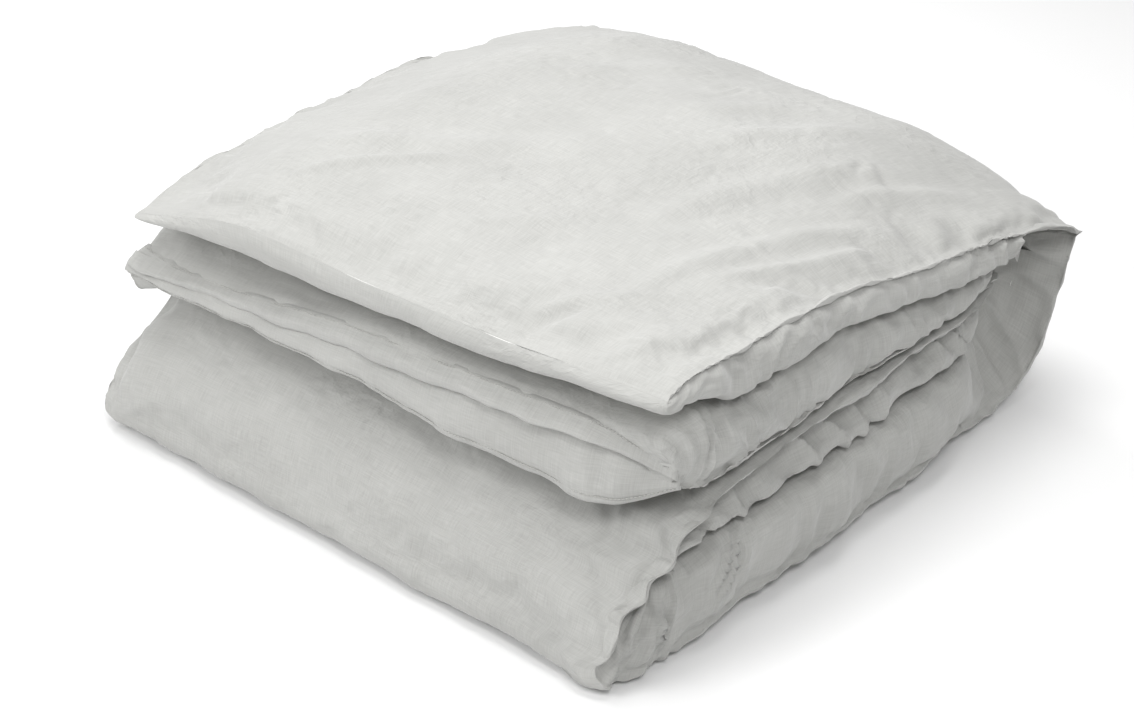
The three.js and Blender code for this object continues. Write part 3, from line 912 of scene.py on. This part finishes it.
def cloth(name, dark, light, threads, crease_depth, sheen=0.25):
    """Woven cotton and linen: the weave, its slubs, washed creases and a slight cloudiness."""
    mat = bpy.data.materials.new(name)
    mat.use_nodes = True
    nodes = Nodes(mat.node_tree)
    bsdf = mat.node_tree.nodes["Principled BSDF"]
    place = nodes.add("ShaderNodeUVMap", uv_map="cloth").outputs[0]
    weave = nodes.group(WEAVE, Place=place, Threads=threads)
    creases = nodes.group(CREASES, Place=place, Per_metre=42.0)
    slubs = nodes.add("ShaderNodeMapRange", {0: weave["Tone"], 1: 0.36, 2: 0.64, 3: 0.0, 4: 0.62})
    clouds = nodes.add("ShaderNodeMapRange", {0: creases["Shade"], 1: 0.3, 2: 0.7, 3: 0.0, 4: 0.38})
    tone = nodes.math("ADD", slubs.outputs[0], clouds.outputs[0])
    mixed = nodes.add("ShaderNodeMix", {0: tone, 6: dark, 7: light}, data_type="RGBA")
    crease_bump = nodes.add("ShaderNodeBump",
                            {"Strength": 0.6, "Distance": crease_depth, "Height": creases["Height"]})
    weave_bump = nodes.add("ShaderNodeBump", {"Strength": 0.25, "Distance": 0.12 / threads,
                                              "Height": weave["Height"], "Normal": crease_bump.outputs[0]})
    nodes.tree.links.new(mixed.outputs[2], bsdf.inputs["Base Color"])
    nodes.tree.links.new(weave_bump.outputs[0], bsdf.inputs["Normal"])
    bsdf.inputs["Roughness"].default_value = 0.92
    bsdf.inputs["Specular IOR Level"].default_value = 0.25
    bsdf.inputs["Sheen Weight"].default_value = sheen
    bsdf.inputs["Sheen Roughness"].default_value = 0.5
    return mat


def button_material():
    """Pale moulded buttons with a faint pearly cloud in them."""
    mat = bpy.data.materials.new("button_plastic")
    mat.use_nodes = True
    nodes = Nodes(mat.node_tree)
    bsdf = mat.node_tree.nodes["Principled BSDF"]
    place = nodes.add("ShaderNodeTexCoord").outputs["Object"]
    swirl = nodes.add("ShaderNodeTexNoise",
                      {"Vector": place, "Scale": 160.0, "Detail": 3.0, "Distortion": 1.5})
    mixed = nodes.add("ShaderNodeMix",
                      {0: swirl.outputs[0], 6: (0.50, 0.50, 0.48, 1), 7: (0.72, 0.72, 0.69, 1)},
                      data_type="RGBA")
    shine = nodes.add("ShaderNodeMapRange", {0: swirl.outputs[0], 3: 0.25, 4: 0.42})
    nodes.tree.links.new(mixed.outputs[2], bsdf.inputs["Base Color"])
    nodes.tree.links.new(shine.outputs[0], bsdf.inputs["Roughness"])
    return mat


PALE_GREY = (0.325, 0.325, 0.311, 1), (0.430, 0.430, 0.414, 1)        # darkest and lightest threads
OFF_WHITE = (0.72, 0.72, 0.70, 1), (0.82, 0.82, 0.80, 1)
THREAD_GREY = (0.36, 0.36, 0.34, 1), (0.46, 0.46, 0.44, 1)
COVER_THREADS, CASING_THREADS, SEWING_THREADS = 1100.0, 1800.0, 3000.0    # per metre
COVER_CLOTH = cloth("cover_cloth", *PALE_GREY, COVER_THREADS, crease_depth=0.0014)
HEM_CLOTH_LOOK = cloth("hem_cloth", *PALE_GREY, COVER_THREADS, crease_depth=0.0005)
INSERT_CLOTH = cloth("casing_cloth", *OFF_WHITE, CASING_THREADS, crease_depth=0.0006)
THREAD_LOOK = cloth("thread", *THREAD_GREY, SEWING_THREADS, crease_depth=0.0001, sheen=0.1)
BUTTON = button_material()

# ---- the pieces ----------------------------------------------------------------------------------
NODES = list(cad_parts)


def finish_piece(piece, look, body=None, replaces=()):
    piece.data.materials.append(look)
    if body:
        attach(piece, body)
    if replaces:
        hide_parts(*replaces)


def nodes_like(starts, ends):
    return [n for n in NODES if n.startswith(starts) and n.endswith(ends)]


COVERS = [     # name, first and last part of the strip, body it rides on, body it stands for in the CAD
    ("cover_top_quarter", "top_quarter", "top_quarter", "top_quarter", "top_quarter"),
    ("cover_wrap_upper", "upper_wrap", "upper_wrap", None, "rear_wrap"),
    ("cover_wrap_lower", "lower_wrap", "lower_wrap", None, "rear_wrap"),
    ("cover_front_fold", "quarter_1", "quarter_2", "stack", "stack"),
    ("cover_third_quarter", "rear_fold", "quarter_3", "stack", "stack"),
]
INSERTS = [    # name, first and last part, body, the CAD nodes it stands for
    ("insert_top_quarter", "top_quarter", "top_quarter", "top_quarter",
     ["fill_top_quarter", "casing_face_top_quarter", "casing_back_top_quarter"]),
    ("insert_wrap_upper", "upper_wrap", "upper_wrap", None,
     ["fill_rear_wrap", "casing_face_rear_wrap", "casing_back_rear_wrap"]),
    ("insert_wrap_lower", "lower_wrap", "lower_wrap", None, ["fill_rear_wrap"]),
    ("insert_front_fold", "quarter_1", "quarter_2", "stack",
     ["fill_quarter_1", "fill_front_fold", "fill_quarter_2", "casing_face_stack", "casing_back_stack"]),
    ("insert_third_quarter", "rear_fold", "quarter_3", "stack", ["fill_inner_rear_fold", "fill_quarter_3"]),
]


def bend_wraps(upper, lower):
    """Bakes the placement of the rear wrap's two pieces into their own meshes."""
    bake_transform(upper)
    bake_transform(lower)


made = {}
for name, first_part, last_part, body, stands_for in COVERS:
    made[name] = cover_piece(name, first_part, last_part)
    finish_piece(made[name], COVER_CLOTH, body, nodes_like("cover_", stands_for))
for name, first_part, last_part, body, stands_for in INSERTS:
    made[name] = insert_piece(name, first_part, last_part)
    finish_piece(made[name], INSERT_CLOTH, body, stands_for)
for name, profile, node, groove_at, stitch_at in (
        ("opening_hem_upper_band", upper_hem, "opening_hem_upper", lambda deep: 0.0, 0.10),
        ("opening_hem_lower_band", lower_hem, "opening_hem_lower", lambda deep: deep - 0.005, 0.90)):
    made[name] = hem(name, profile, groove_at)
    finish_piece(made[name], HEM_CLOTH_LOOK, "stack", [node])
    stitches = hem_stitches(name.replace("band", "stitches"), profile, stitch_at)
    finish_piece(stitches, THREAD_LOOK, "stack")
bend_wraps(made["cover_wrap_upper"], made["cover_wrap_lower"])
bend_wraps(made["insert_wrap_upper"], made["insert_wrap_lower"])
for node in nodes_like("button_", ""):
    made[node] = button(node.replace("button", "fly_button"), node)
    finish_piece(made[node], BUTTON, "stack", [node])


# ---- room, light and camera ----------------------------------------------------------------------
FLOOR_SIZE, FLOOR_TONE, ROOM_LIGHT = 14, 0.80, 0.46
AZIMUTH, ELEVATION, DISTANCE = math.radians(41.4), math.radians(31.9), 2.379
LENS_MM, SENSOR_MM = 79.36508, 36
AIM = Vector((0.064, FRONT + 0.236, 0.13))
LAMPS = [      # name, place, where it points, size, power in watts
    ("overhead softbox", (0.10, 0.05, 2.1), (0, 0, 0.1), 1.3, 29),
    ("key from the left", (-1.7, 0.7, 1.2), (0, 0, 0.1), 0.6, 12),
    ("front fill", (-0.7, -2.1, 1.5), (0, 0, 0.1), 1.2, 30),
    ("fill from the right", (1.5, -1.1, 2.0), (0, 0, 0.2), 0.7, 24),
]


def room():
    bpy.ops.mesh.primitive_plane_add(size=FLOOR_SIZE, location=(0, 0, -0.0005))
    floor = bpy.context.object
    floor.name = "floor"
    mat = bpy.data.materials.new("floor_white")
    mat.use_nodes = True
    bsdf = mat.node_tree.nodes["Principled BSDF"]
    bsdf.inputs["Base Color"].default_value = (FLOOR_TONE, FLOOR_TONE, FLOOR_TONE, 1)
    bsdf.inputs["Roughness"].default_value = 0.8
    floor.data.materials.append(mat)
    world = bpy.data.worlds.new("soft white room")
    bpy.context.scene.world = world
    world.use_nodes = True
    background = world.node_tree.nodes["Background"]
    background.inputs["Color"].default_value = (1, 1, 1, 1)
    background.inputs["Strength"].default_value = ROOM_LIGHT
    bpy.context.scene.view_settings.view_transform = "Standard"


def lamp(name, place, target, size, power):
    data = bpy.data.lights.new(name, "AREA")
    data.shape = "DISK"
    data.size = size
    data.energy = power
    obj = bpy.data.objects.new(name, data)
    obj.location = place
    obj.rotation_euler = (Vector(target) - Vector(place)).to_track_quat("-Z", "Y").to_euler()
    bpy.context.scene.collection.objects.link(obj)


def camera():
    back = Vector((math.sin(AZIMUTH) * math.cos(ELEVATION), -math.cos(AZIMUTH) * math.cos(ELEVATION),
                   math.sin(ELEVATION)))
    data = bpy.data.cameras.new("camera")
    data.lens = LENS_MM
    data.sensor_width = SENSOR_MM
    obj = bpy.data.objects.new("camera", data)
    obj.location = AIM + back * DISTANCE
    obj.rotation_euler = (-back).to_track_quat("-Z", "Y").to_euler()
    bpy.context.scene.collection.objects.link(obj)
    bpy.context.scene.camera = obj


room()
for settings in LAMPS:
    lamp(*settings)
camera()
